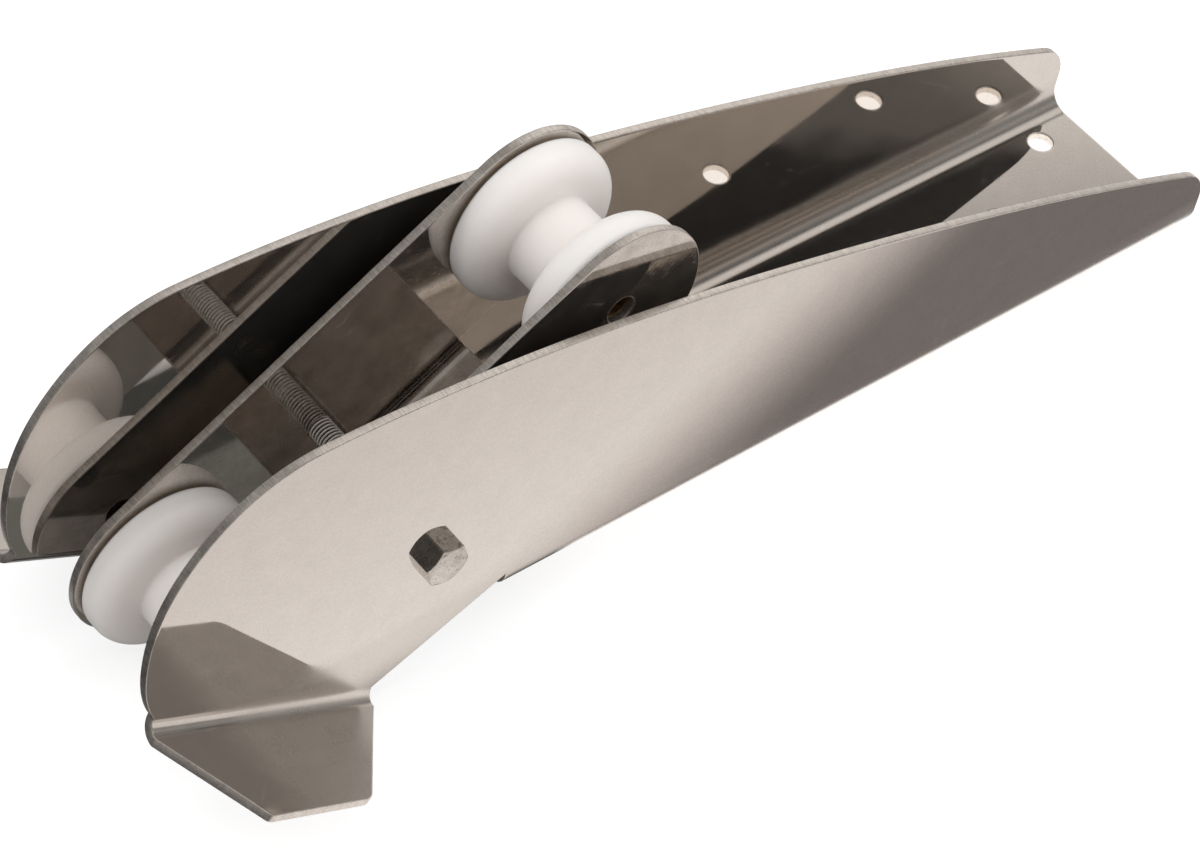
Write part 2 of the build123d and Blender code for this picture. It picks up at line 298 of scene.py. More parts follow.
def folded_sheet(name, outline, holes, fold_points, fold):
    """Port half of a blank, its faces and its rim, carried through the folds and mirrored."""
    points, faces, finishes = [], [], []
    inset, height = edge_profile()
    inner_loops = []
    count = 0
    for loop in [outline] + holes:
        way, open_run = inward(loop)
        rim = loop[None] + inset[:, None, None] * way[None]
        flat = rim.reshape(-1, 2)
        points.append(fold(flat, np.repeat(height, len(loop))))
        quads = grid_faces(len(inset), len(loop), False, True)
        kept = ~np.tile(open_run, len(inset) - 1)
        faces += (quads[kept] + count).tolist()
        row = np.repeat(np.arange(len(inset) - 1), len(loop))[kept]
        finishes += (((row > 0) & (row < len(inset) - 2)) * 1).tolist()
        inner_loops.append(rim[0].astype(np.float32).astype(float))
        count += len(flat)
    inner_points = np.concatenate(inner_loops)
    edges, first = [], 0
    for loop in inner_loops:
        edges += [(first + i, first + (i + 1) % len(loop)) for i in range(len(loop))]
        first += len(loop)
    clear = clear_of(fold_points, inner_loops, RIM_CLEARANCE)
    wanted = is_inside(fold_points, inner_loops) & clear
    blank = np.concatenate([inner_points, fold_points[wanted]])
    corners = [Vector(p) for p in blank]
    placed, _, triangles, *_ = delaunay_2d_cdt(corners, edges, [], 0, TRIANGLE_TOLERANCE)
    placed = np.array([tuple(p) for p in placed])
    triangles = np.array(triangles)
    triangles = triangles[is_inside(placed[triangles].mean(1), inner_loops)]
    for side in (SHEET / 2, -SHEET / 2):
        points.append(fold(placed, np.full(len(placed), side)))
        faces += (triangles[:, :: (1 if side > 0 else -1)] + count).tolist()
        finishes += [0] * len(triangles)
        count += len(placed)
    port = np.concatenate(points)
    starboard = port * [1, -1, 1]
    mirrored = [[i + count for i in face[::-1]] for face in faces]
    return solid(name, np.concatenate([port, starboard]), faces + mirrored, finishes * 2)


# %% [markdown]
# ## The base channel
# Its cheeks rise in a long curve from the low rear end to a peak over the pivot, then turn down
# into a rounded nose. At the bottom of the nose each cheek is folded outwards again into a wing.
# In the blank, the distance across from the centre line runs on through the fold into the cheek.

# %% Fold of the base
WING_ANGLE = np.radians(27.65)
WING_LENGTH = 114.0
WING_WIDTH = 47.8
WING_REAR_SWEEP = 39.0
WING_FRONT_SWEEP = 23.0
WING_REAR_CORNER = 8.0
WING_FRONT_CORNER = 3.0
WING_PLACE = np.array([PIVOT[0] + 24.5, PIVOT[1] - 66.4])
WING_ALONG = np.array([np.cos(WING_ANGLE), np.sin(WING_ANGLE)])
WING_UP = np.array([-np.sin(WING_ANGLE), np.cos(WING_ANGLE)])
BASE_FLAT = BASE_HALF_WIDTH - FLOOR_HEIGHT


def across(height):
    """Distance from the centre line in the blank of a base cheek's point at a height."""
    return BASE_FLAT + FLOOR_RUN + height - FLOOR_HEIGHT


def on_wing(along, past_fold):
    """Place in the blank of a wing point, by its run along the fold and its run past it."""
    side_view = (
        WING_PLACE
        + np.multiply.outer(along, WING_ALONG)
        + np.multiply.outer(SMALL_RADIUS - np.asarray(past_fold, float), WING_UP)
    )
    side_view[..., 1] = across(side_view[..., 1])
    return side_view


def fold_base(blank, height):
    """Bends the port half: the floor's fold turns it up, and the wing's fold turns it out.

    Height is the distance from the middle of the sheet towards its inner face. In a fold, the
    distance past the fold line divided by the middle radius is the angle turned.
    """
    x, distance = blank[:, 0], blank[:, 1]
    turn = np.clip(distance - BASE_FLAT, 0, FLOOR_RUN) / FLOOR_MIDDLE
    floor_y = np.minimum(distance, BASE_FLAT) + (FLOOR_MIDDLE - height) * np.sin(turn)
    floor_z = FLOOR_HEIGHT - (FLOOR_MIDDLE - height) * np.cos(turn)
    cheek = (distance > BASE_FLAT + FLOOR_RUN) | (x > FLOOR_FRONT + 1)
    side_view = np.stack([x, distance - BASE_FLAT - FLOOR_RUN + FLOOR_HEIGHT], 1)
    along = (side_view - WING_PLACE) @ WING_ALONG
    over = (side_view - WING_PLACE) @ WING_UP
    past = SMALL_RADIUS - over
    wing_turn = np.clip(past, 0, SMALL_RUN) / SMALL_MIDDLE
    reach = BASE_HALF_WIDTH + SMALL_RADIUS - (SMALL_MIDDLE + height) * np.cos(wing_turn)
    cheek_y = reach + np.maximum(past - SMALL_RUN, 0)
    drop = SMALL_RADIUS - (SMALL_MIDDLE + height) * np.sin(wing_turn)
    cheek_up = np.where(past > 0, drop, over)
    cheek_x = WING_PLACE[0] + along * WING_ALONG[0] + cheek_up * WING_UP[0]
    cheek_z = WING_PLACE[1] + along * WING_ALONG[1] + cheek_up * WING_UP[1]
    on_cheek = np.stack([cheek_x, cheek_y, cheek_z], 1)
    on_floor = np.stack([x, floor_y, floor_z], 1)
    return np.where(cheek[:, None], on_cheek, on_floor)


# %% Side view of a base cheek
CHEEK_PEAK = np.array([PIVOT[0] + 59.0, 140.5])
CHEEK_MIDDLE = np.array([PIVOT[0] - 197.5, 100.5])
CHEEK_REAR = np.array([FLOOR_REAR, 33.0])
CHEEK_SHOULDER = CHEEK_PEAK + [51.0, -25.0]
CHEEK_NOSE = CHEEK_PEAK + [69.0, -78.0]
CHIN_SLOPE = np.radians(24.0)
REAR_SLOPE = np.radians(22.0)
REAR_CORNER = 20.0


def cheek_side_view():
    """Free edge of the cheek, from the wing's front end over nose and peak to the rear edge.

    The chin, the front and the long top are cubic curves that meet with the same slope.
    """
    chin_end = WING_PLACE + WING_ALONG * WING_LENGTH + WING_UP * SMALL_RADIUS
    chin_way = (-np.sin(CHIN_SLOPE), -np.cos(CHIN_SLOPE))
    rear_way = (np.cos(REAR_SLOPE), np.sin(REAR_SLOPE))
    chin = smooth_curve([CHEEK_NOSE, chin_end], (0, -1), chin_way)[::-1]
    front = smooth_curve([CHEEK_PEAK, CHEEK_SHOULDER, CHEEK_NOSE], (1, 0), (0, -1))[::-1]
    top = smooth_curve([CHEEK_REAR, CHEEK_MIDDLE, CHEEK_PEAK], rear_way, (1, 0), 120)[::-1]
    high_corner = rear_corner(top, REAR_CORNER)
    top = top[top[:, 0] > high_corner[0, 0] + 0.5]
    return np.concatenate([chin[1:], front[1:], top[1:], high_corner])


def rear_corner(top, radius):
    """Arc between the cheek's curved top and its upright rear edge.

    Its centre is where the top curve moved inwards by the radius meets the rear edge moved
    inwards by the radius.
    """
    way = np.gradient(top, axis=0)
    way /= np.linalg.norm(way, axis=1)[:, None]
    moved = top + radius * np.stack([-way[:, 1], way[:, 0]], 1)
    centre_x = FLOOR_REAR + radius
    order = np.argsort(moved[:, 0])
    centre = np.array([centre_x, np.interp(centre_x, moved[order, 0], moved[order, 1])])
    touch = np.interp(centre_x, moved[order, 0], np.arange(len(top))[order])
    slope = way[int(round(touch))]
    start = np.arctan2(-slope[0], slope[1])
    angle = np.linspace(start, np.pi, 14)
    return centre + radius * np.stack([np.cos(angle), np.sin(angle)], 1)


print("cheek peak and nose, mm:", CHEEK_PEAK, CHEEK_NOSE)

# %% Outline of the base blank
DECK_HOLE = 5.5
REAR_HOLE_SIDE = 25.0
CENTRE_HOLES = (48.0, 135.0)


def base_outline():
    """Port half of the blank, counter-clockwise from the middle of the floor's front edge."""
    wing_start, wing_end = on_wing(0.0, 0.0), on_wing(WING_LENGTH, 0.0)
    wing_reach = WING_WIDTH - SMALL_RADIUS + SMALL_RUN
    wing = [
        on_wing(0.0, SMALL_RUN),
        on_wing(WING_REAR_SWEEP, wing_reach),
        on_wing(WING_LENGTH - WING_FRONT_SWEEP, wing_reach),
        on_wing(WING_LENGTH, SMALL_RUN),
    ]
    rear_tip = round_corner(wing[0], wing[1], wing[2], WING_REAR_CORNER)
    front_tip = round_corner(wing[1], wing[2], wing[3], WING_FRONT_CORNER)
    cheek = cheek_side_view()
    cheek[:, 1] = across(cheek[:, 1])
    bent = BASE_FLAT + FLOOR_RUN
    runs = [
        divide([(FLOOR_FRONT, 0.0), (FLOOR_FRONT, BASE_FLAT)], STRAIGHT_STEP)[:-1],
        divide([(FLOOR_FRONT, BASE_FLAT), (FLOOR_FRONT, bent)], FOLD_STEP)[:-1],
        divide([(FLOOR_FRONT, bent), wing_start], STRAIGHT_STEP)[:-1],
        divide([wing_start, wing[0]], FOLD_STEP)[:-1],
        divide([wing[0], rear_tip[0]], STRAIGHT_STEP)[:-1],
        rear_tip,
        divide([rear_tip[-1], front_tip[0]], STRAIGHT_STEP)[1:-1],
        front_tip,
        divide([front_tip[-1], wing[3]], STRAIGHT_STEP)[1:-1],
        divide([wing[3], wing_end], FOLD_STEP),
        cheek,
        divide([cheek[-1], (FLOOR_REAR, bent)], STRAIGHT_STEP)[1:],
        divide([(FLOOR_REAR, bent), (FLOOR_REAR, BASE_FLAT)], FOLD_STEP)[1:],
        divide([(FLOOR_REAR, BASE_FLAT), (FLOOR_REAR, 0.0)], STRAIGHT_STEP)[1:],
    ]
    for x in CENTRE_HOLES:
        runs += [circle((x, 0.0), DECK_HOLE, 24, np.pi, -np.pi), [(x + DECK_HOLE, 0.0)]]
    return np.concatenate(runs)


blank_outline = base_outline()
blank_size = np.ptp(blank_outline, axis=0) * [1, 2]
print("points round the base blank:", len(blank_outline), "flat size, mm:", blank_size.round(1))

# %% Points along the folds of the base
BASE_BOLT_HOLE = 5.05


def fold_rows(start, end, flat, run, spacing=3.0, rows=17, margin=0.8):
    """Rows of points along a fold, close together across it so that it bends evenly."""
    along = np.arange(start + spacing / 2, end, spacing)
    sideways = flat + np.concatenate([[-margin], np.linspace(0, run, rows), [run + margin]])
    return np.stack(np.meshgrid(along, sideways), -1).reshape(-1, 2)


def round_hole(place, radius, steps=48):
    """Clockwise ring round a hole, so that the metal lies on its left."""
    return circle(place, radius, steps, 0.0, -2 * np.pi)


wing_rows = fold_rows(0.0, WING_LENGTH, 0.0, SMALL_RUN)
wing_points = on_wing(wing_rows[:, 0], wing_rows[:, 1])
floor_points = fold_rows(FLOOR_REAR, FLOOR_FRONT, BASE_FLAT, FLOOR_RUN)
base_points = np.concatenate([floor_points, wing_points])
base_holes = [
    round_hole((0.0, REAR_HOLE_SIDE), DECK_HOLE),
    round_hole((PIVOT[0], across(PIVOT[1])), BASE_BOLT_HOLE),
]
folded_base = folded_sheet("folded_base", blank_outline, base_holes, base_points, fold_base)

# %% [markdown]
# ## The tilting arm
# The arm is folded from the same sheet. Its web is short, so both ends are open underneath, where
# the rollers run. Each cheek is the outline that a string would follow round its two round ends
# and the strip over the web.

# %% Tilting arm
ARM_FLAT = ARM_HALF_WIDTH - SMALL_HEIGHT
ARM_BOTTOM = -33.5
ARM_STRIP = ARM_BOTTOM + SMALL_HEIGHT
WEB_FRONT = 27.0
WEB_REAR = -60.0
AXLE_HEIGHT = 13.9
FRONT_AXLE = 74.6
REAR_AXLE = -108.4
ARM_END_RADIUS = 36.4
ARM_BOLT_HOLE = 5.06
AXLE_BORE = 6.0


def across_arm(height):
    """Distance from the centre line in the arm's blank of a cheek point at a height."""
    return ARM_FLAT + SMALL_RUN + height - ARM_STRIP


def fold_arm(blank, height):
    """Bends the port half of the arm's blank up at its web, then tilts it about the pivot."""
    x, distance = blank[:, 0], blank[:, 1]
    turn = np.clip(distance - ARM_FLAT, 0, SMALL_RUN) / SMALL_MIDDLE
    y = np.minimum(distance, ARM_FLAT) + (SMALL_MIDDLE - height) * np.sin(turn)
    rise = np.maximum(distance - ARM_FLAT - SMALL_RUN, 0)
    z = ARM_STRIP - (SMALL_MIDDLE - height) * np.cos(turn) + rise
    return tilt(np.stack([x, y, z], 1))


def tilt(points):
    """Turns points of the level arm by its rest angle and moves them to the pivot."""
    x, y, z = points.T
    c, s = np.cos(ARM_ANGLE), np.sin(ARM_ANGLE)
    return np.stack([PIVOT[0] + c * x + s * z, y, PIVOT[1] - s * x + c * z], 1)


def touch_angle(corner, centre, side):
    """Angle on a round end where a straight run from a corner touches it."""
    away = np.asarray(corner, float) - centre
    opening = np.arccos(ARM_END_RADIUS / np.linalg.norm(away))
    return np.arctan2(away[1], away[0]) + side * opening


def arm_outline():
    """Port half of the arm's blank, counter-clockwise from the middle of the web's front edge."""
    front, rear = np.array([FRONT_AXLE, AXLE_HEIGHT]), np.array([REAR_AXLE, AXLE_HEIGHT])
    front_touch = touch_angle((WEB_FRONT, ARM_STRIP), front, 1)
    rear_touch = touch_angle((WEB_REAR, ARM_STRIP), rear, -1) + 2 * np.pi
    front_angle = np.linspace(front_touch, np.pi / 2, 60)
    rear_angle = np.linspace(np.pi / 2, rear_touch, 60)
    front_end = front + ARM_END_RADIUS * np.stack([np.cos(front_angle), np.sin(front_angle)], 1)
    rear_end = rear + ARM_END_RADIUS * np.stack([np.cos(rear_angle), np.sin(rear_angle)], 1)
    runs = [
        divide([(WEB_FRONT, ARM_STRIP), front_end[0]], STRAIGHT_STEP)[:-1],
        front_end,
        divide([front_end[-1], rear_end[0]], STRAIGHT_STEP)[1:-1],
        rear_end,
        divide([rear_end[-1], (WEB_REAR, ARM_STRIP)], STRAIGHT_STEP)[1:],
    ]
    cheek = np.concatenate(runs)
    cheek[:, 1] = across_arm(cheek[:, 1])
    bent = across_arm(ARM_STRIP)
    before = [
        divide([(WEB_FRONT, 0.0), (WEB_FRONT, ARM_FLAT)], STRAIGHT_STEP)[:-1],
        divide([(WEB_FRONT, ARM_FLAT), (WEB_FRONT, bent)], FOLD_STEP)[:-1],
    ]
    after = [
        divide([(WEB_REAR, bent), (WEB_REAR, ARM_FLAT)], FOLD_STEP)[1:],
        divide([(WEB_REAR, ARM_FLAT), (WEB_REAR, 0.0)], STRAIGHT_STEP)[1:],
    ]
    return np.concatenate(before + [cheek] + after)


arm_holes = [
    round_hole((0.0, across_arm(0.0)), ARM_BOLT_HOLE),
    round_hole((FRONT_AXLE, across_arm(AXLE_HEIGHT)), AXLE_BORE),
    round_hole((REAR_AXLE, across_arm(AXLE_HEIGHT)), AXLE_BORE),
]
arm_points = fold_rows(WEB_REAR, WEB_FRONT, ARM_FLAT, SMALL_RUN)
folded_arm = folded_sheet("folded_arm", arm_outline(), arm_holes, arm_points, fold_arm)
arm_size = np.ptp(arm_outline(), axis=0) * [1, 2]
print("flat size of the arm's blank, mm:", arm_size.round(1))

# %% [markdown]
# ## Turned pieces
# Rollers, tubes and rings come from a lathe or a round mould, so each is a closed profile of
# radius and distance along the axis, turned once round. The corners of the profile are rounded
# before it is turned.

# %% Turning
def rounded_profile(corners, radii, steps=8):
    """Closed profile whose corners are arcs; a corner with radius zero stays sharp."""
    corners = np.asarray(corners, float)
    runs = []
    for i, radius in enumerate(radii):
        before, after = corners[i - 1], corners[(i + 1) % len(corners)]
        if radius > 0:
            runs.append(round_corner(before, corners[i], after, radius, steps))
        else:
            runs.append(corners[i : i + 1])
    return np.concatenate(runs)


def turned_piece(name, profile, place, steps=128, arm=True):
    """Turns a profile of (radius, distance to port) about a crosswise axis at a place."""
    angle = 2 * np.pi * np.arange(steps) / steps
    radius, side = profile[:, 0][:, None], profile[:, 1][:, None]
    x = place[0] + radius * np.cos(angle)
    z = place[1] + radius * np.sin(angle)
    points = np.stack([x, np.broadcast_to(side, x.shape), z], -1).reshape(-1, 3)
    if arm:
        points = tilt(points)
    return solid(name, points, grid_faces(len(profile), steps, True, True).tolist())


# %% [markdown]
# ## The nylon rollers
# Each roller has a deep groove for the chain between two broad flanges. The flanges are rounded
# more towards the groove than towards the arm, and the corners at the groove's bottom are nearly
# square.

# %% Section of a roller
ROLLER_HALF = 26.8
ROLLER_RADIUS = 34.5
ROLLER_BORE = 8.3
GROOVE_HALF = 11.5
GROOVE_RADIUS = 18.5


def roller_profile():
    """Half a roller's section as radius, distance to port and rounding, then its mirror image."""
    half = [
        (ROLLER_BORE, ROLLER_HALF, 0.4),
        (ROLLER_RADIUS, ROLLER_HALF, 2.5),
        (ROLLER_RADIUS, GROOVE_HALF, 9.0),
        (GROOVE_RADIUS, GROOVE_HALF, 1.2),
    ]
    whole = np.array(half + [(radius, -side, soft) for radius, side, soft in half[::-1]])
    return rounded_profile(whole[:, :2], whole[:, 2], 14)


# %% Rollers and tube axles
TUBE_HALF = 27.8
TUBE_RADIUS = 8.0
TUBE_BORE = 6.1


def ring_profile(inner, outer, start, end, roundings):
    """Square section between two radii and two distances to port, with rounded corners."""
    corners = [(inner, start), (inner, end), (outer, end), (outer, start)]
    return rounded_profile(corners, roundings, 4)


tube = ring_profile(TUBE_BORE, TUBE_RADIUS, -TUBE_HALF, TUBE_HALF, [0.3, 0.3, 0.15, 0.15])
rollers, axles = {}, {}
for end, along in {"front": FRONT_AXLE, "rear": REAR_AXLE}.items():
    rollers[end] = turned_piece(f"{end}_roller_nylon", roller_profile(), (along, AXLE_HEIGHT), 160)
    axles[end] = turned_piece(f"{end}_axle_tube", tube, (along, AXLE_HEIGHT), 64)

# %% [markdown]
# ## The pivot bolt and its nuts
# A long bolt, threaded over its whole length, passes through both channels. The thread is a
# surface of two parameters, the angle and the distance along the bolt. Its radius depends only on
# how far a point is from the nearest crest of the helix.

# %% Threaded bolt
PITCH = 1.5
THREAD_RADIUS = 4.98
THREAD_DEPTH = 0.85
THREAD_END = 1.5
END_LOSS = 0.5
BOLT_TIP = -60.0
BOLT_SHOULDER = 45.5


def thread_surface(start, end, rows_per_turn=10, steps=48):
    """Radius falls from crest to root as a smoothed triangle of the phase.

    The phase is the distance along the bolt in pitches, less the angle in turns. Both ends are
    turned down a little.
    """
    rows = int((end - start) / PITCH * rows_per_turn)
    side = np.linspace(start, end, rows)[:, None]
    angle = 2 * np.pi * np.arange(steps)[None] / steps
    phase = (side / PITCH - angle / (2 * np.pi)) % 1.0
    tooth = np.abs(2 * phase - 1)
    tooth = tooth * tooth * (3 - 2 * tooth)
    full = np.clip((side - start) / THREAD_END, 0, 1) * np.clip((end - side) / THREAD_END, 0, 1)
    radius = THREAD_RADIUS - THREAD_DEPTH * (1 - tooth) - END_LOSS * (1 - full)
    x, z = PIVOT[0] + radius * np.cos(angle), PIVOT[1] + radius * np.sin(angle)
    return np.stack([x, np.broadcast_to(side, x.shape), z], -1)


def bolt_thread():
    """Threaded rod, closed at both ends by a fan of triangles about the axis."""
    surface = thread_surface(BOLT_TIP, BOLT_SHOULDER)
    rows, steps = surface.shape[:2]
    ends = [[(PIVOT[0], side, PIVOT[1])] for side in (BOLT_TIP, BOLT_SHOULDER)]
    points = np.concatenate([surface.reshape(-1, 3)] + ends)
    ring = np.arange(steps)
    ring_next = (ring + 1) % steps
    last = (rows - 1) * steps
    centre = np.full(steps, rows * steps)
    first_fan = np.stack([ring, ring_next, centre], 1)
    last_fan = np.stack([last + ring_next, last + ring, centre + 1], 1)
    faces = grid_faces(rows, steps, False, True).tolist() + first_fan.tolist() + last_fan.tolist()
    return solid("pivot_bolt_thread", points, faces)


bolt_rod = bolt_thread()

# %% Hexagons
ACROSS_FLATS = 17.0
FACE_INSET = 0.55
CORNER_LOSS = 0.12
BORE_CHAMFER = 1.0
HEAD_RECESS = 0.12
RECESS_INSET = 0.25
CLOSED_MIDDLE = 0.01
CONE_SLOPE = np.tan(np.radians(27))
EDGE_BEVEL = 0.22


def hex_piece(name, foot, height, direction, turn, bore=None, both_ends=True, collar=None):
    """Hexagon whose corners are turned down by a cone, standing on a foot along the bolt.

    Each row is a ring with its own radius and level. The side's radius is the distance to a flat
    divided by the cosine of the angle from its middle, so it repeats every sixth of a turn. The
    cone cuts the side in the curved edges that every bolt head has.
    """
    steps = 144
    angle = 2 * np.pi * (np.arange(steps) + 0.5) / steps
    flat = ACROSS_FLATS / 2
    side = flat / np.cos(angle % (np.pi / 3) - np.pi / 6)
    side = np.minimum(side, flat / np.cos(np.pi / 6) - CORNER_LOSS)
    face = flat - FACE_INSET
    cut = np.maximum(side - face, 0) * CONE_SLOPE
    rows = [(bore, BORE_CHAMFER), (bore + BORE_CHAMFER, 0.0)] if bore else [(CLOSED_MIDDLE, 0.0)]
    rows += [(face, 0.0), (side, cut)] if both_ends else [(side, 0.0)]
    rows += [(side, height - cut), (face, height)]
    if collar:
        rows += collar
    elif bore:
        rows += [(bore + BORE_CHAMFER, height), (bore, height - BORE_CHAMFER)]
    else:
        inner = height - HEAD_RECESS
        rows += [(face - RECESS_INSET, inner), (CLOSED_MIDDLE, inner)]
    radius, level = (np.array([np.broadcast_to(row[i], steps) for row in rows]) for i in (0, 1))
    way = angle + np.radians(turn)
    x, z = PIVOT[0] + radius * np.cos(way), PIVOT[1] + radius * np.sin(way)
    points = np.stack([x, direction * (foot + level), z], -1).reshape(-1, 3)
    piece = solid(name, points, grid_faces(len(rows), steps, True, True).tolist())
    soften = piece.modifiers.new("soft_edges", "BEVEL")
    soften.width = EDGE_BEVEL * MM
    soften.segments = 2
    soften.limit_method = "ANGLE"
    soften.angle_limit = np.radians(20)
    soften.harden_normals = True
    return piece


# %% Bolt head, nuts and washer
HEAD_HEIGHT = 6.4
HEAD_TURN = 12.0
NUT_HEIGHT = 8.0
NUT_FOOT = BASE_HALF_WIDTH - SHEET - NUT_HEIGHT
NUT_BORE = 5.0
WASHER_RADIUS = 10.0
LOCK_NUT_FOOT = BASE_HALF_WIDTH + 2.0
LOCK_HEX_HEIGHT = 7.6
LOCK_COLLAR = [
    (7.9, 7.6), (7.8, 8.0), (7.8, 9.4), (7.3, 10.0),
    (6.7, 10.0), (6.6, 9.4), (5.1, 9.4), (5.0, 9.2),
]
LOCK_RING_RADIUS = 6.6
LOCK_RING_FAR = -56.4
LOCK_RING_NEAR = -54.6

bolt_head = hex_piece(
    "pivot_bolt_head", BASE_HALF_WIDTH, HEAD_HEIGHT, 1, HEAD_TURN, both_ends=False
)
port_nut = hex_piece("port_inner_nut_hex", NUT_FOOT, NUT_HEIGHT, 1, 0.0, NUT_BORE)
starboard_nut = hex_piece("starboard_inner_nut_hex", NUT_FOOT, NUT_HEIGHT, -1, 0.0, NUT_BORE)
lock_nut = hex_piece(
    "lock_nut_hex", LOCK_NUT_FOOT, LOCK_HEX_HEIGHT, -1, 0.0, NUT_BORE, collar=LOCK_COLLAR
)
washer_section = ring_profile(
    NUT_BORE, WASHER_RADIUS, -LOCK_NUT_FOOT, -BASE_HALF_WIDTH, [0.1, 0.1, 0.4, 0.4]
)
washer = turned_piece("plain_washer", washer_section, PIVOT, 96, False)
lock_ring_section = ring_profile(
    NUT_BORE, LOCK_RING_RADIUS, LOCK_RING_FAR, LOCK_RING_NEAR, [0.3, 0.1, 0.1, 0.3]
)
lock_ring = turned_piece("lock_nut_nylon", lock_ring_section, PIVOT, 64, False)

# %% [markdown]
# ## Which piece stands for which node
# Each new piece replaces its CAD node and rides on the same body.

# %% Riding on the bodies
pieces = [
    (folded_base, "base", ["base_channel"], "polished_sheet"),
    (folded_arm, "arm", ["tilting_arm"], "arm_sheet"),
    (rollers["front"], "front_wheel", ["front_roller"], "roller_nylon"),
    (rollers["rear"], "rear_wheel", ["rear_roller"], "roller_nylon"),
    (axles["front"], "arm", ["front_axle"], "axle_steel"),
    (axles["rear"], "arm", ["rear_axle"], "axle_steel"),
    (bolt_rod, "base", ["pivot_bolt"], "fastener_steel"),
    (bolt_head, "base", ["pivot_bolt"], "fastener_steel"),
    (port_nut, "base", ["port_inner_nut"], "fastener_steel"),
    (starboard_nut, "base", ["starboard_inner_nut"], "fastener_steel"),
    (lock_nut, "base", ["lock_nut"], "fastener_steel"),
    (washer, "base", ["washer"], "fastener_steel"),
    (lock_ring, "base", ["lock_nut_ring"], "ring_nylon"),
]
for piece, body, nodes, slot in pieces:
    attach(piece, body)
    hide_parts(*nodes)
print("pieces:", len(pieces))

# %% [markdown]
# ## Shader helpers
# A material is a small tree of nodes. Each helper adds one node and gives back what comes out of
# it, so that a material reads as a short list of steps. An input takes a plain value, or the
# output of another node, which is then linked to it.

# %% Node helpers
def set_inputs(tree, node, values):
    """Sets a node's inputs by name or number, and links those whose value is a socket."""
    for key, value in values.items():
        if isinstance(value, bpy.types.NodeSocket):
            tree.links.new(value, node.inputs[key])
        else:
            node.inputs[key].default_value = value


def add_node(tree, kind, **values):
    """Adds a node. An underscore stands for a space in the name of an input."""
    node = tree.nodes.new(kind)
    set_inputs(tree, node, {key.replace("_", " "): value for key, value in values.items()})
    return node


def maths(tree, operation, *values, kind="ShaderNodeMath", out=0):
    """Result of one sum, product or the like on up to three values."""
    node = tree.nodes.new(kind)
    node.operation = operation
    set_inputs(tree, node, dict(enumerate(values)))
    return node.outputs[out]


def vector_maths(tree, operation, *values, out="Vector"):
    """The same for directions and places."""
    return maths(tree, operation, *values, kind="ShaderNodeVectorMath", out=out)


def spread(tree, value, start, end, low=0.0, high=1.0, smooth=False):
    """Carries a value from start and end over to low and high, and holds it past both ends."""
    node = add_node(tree, "ShaderNodeMapRange", Value=value, From_Min=start, From_Max=end)
    set_inputs(tree, node, {"To Min": low, "To Max": high})
    if smooth:
        node.interpolation_type = "SMOOTHSTEP"
    return node.outputs[0]


def blend(tree, share, low, high):
    """Colour at a share of the way between two colours, each three numbers or a socket."""
    node = tree.nodes.new("ShaderNodeMix")
    node.data_type = "RGBA"
    low, high = (end if isinstance(end, bpy.types.NodeSocket) else (*end, 1) for end in (low, high))
    set_inputs(tree, node, {0: share, 6: low, 7: high})
    return node.outputs[2]


# %% Texture helpers
def object_place(tree):
    """Place of a point in metres, which moves and turns with its piece."""
    return tree.nodes.new("ShaderNodeTexCoord").outputs["Object"]


def parts_of(tree, place):
    """The X, Y and Z of a place."""
    return add_node(tree, "ShaderNodeSeparateXYZ", Vector=place).outputs


def noise(tree, place, scale, detail, roughness=0.5):
    """Cloudy grey with about as many patches to the metre as the scale says."""
    node = add_node(tree, "ShaderNodeTexNoise", Vector=place, Scale=scale, Detail=detail)
    node.inputs["Roughness"].default_value = roughness
    return node.outputs["Fac"]


def cell_distance(tree, place, scale, feature="F1"):
    """Distance to the nearest scattered point, or to the nearest border between two cells."""
    node = tree.nodes.new("ShaderNodeTexVoronoi")
    node.feature = feature
    set_inputs(tree, node, {"Vector": place, "Scale": scale})
    return node.outputs["Distance"]


def relief(tree, height, depth):
    """Normal that follows a height, with its full depth in metres."""
    return add_node(tree, "ShaderNodeBump", Height=height, Distance=depth, Strength=1.0).outputs[0]


# %% Material and group helpers
def new_material(name):
    """Material with its tree of nodes and its Principled shader."""
    material = bpy.data.materials.new(name)
    material.use_nodes = True
    return material, material.node_tree, material.node_tree.nodes["Principled BSDF"]


def new_group(name, inputs, outputs):
    """Shader group. An input without a default is a direction, and each output is a value."""
    tree = bpy.data.node_groups.new(name, "ShaderNodeTree")
    for label, default in inputs.items():
        kind = "NodeSocketVector" if default is None else "NodeSocketFloat"
        socket = tree.interface.new_socket(label, in_out="INPUT", socket_type=kind)
        if default is not None:
            socket.default_value = default
    for label in outputs:
        tree.interface.new_socket(label, in_out="OUTPUT", socket_type="NodeSocketFloat")
    return tree, tree.nodes.new("NodeGroupInput").outputs, tree.nodes.new("NodeGroupOutput")


def use_group(tree, group, **values):
    """Places a group in a tree with its own values, and gives back its outputs."""
    node = tree.nodes.new("ShaderNodeGroup")
    node.node_tree = group
    set_inputs(tree, node, values)
    return node.outputs


# %% [markdown]
# ## Marks on polished steel
# Stainless sheet that has been polished still shows a very fine cloudy grain, long shallow waves
# from rolling, a few hairline scratches from handling, and specks of dust. They change roughness
# and height only a little, but without them a mirror looks like a computer's.
# A scratch is a border between the cells of a Voronoi texture, broken up by a cloud. All metals
# here share these marks, so they are one group, placed in each material with its own strengths.

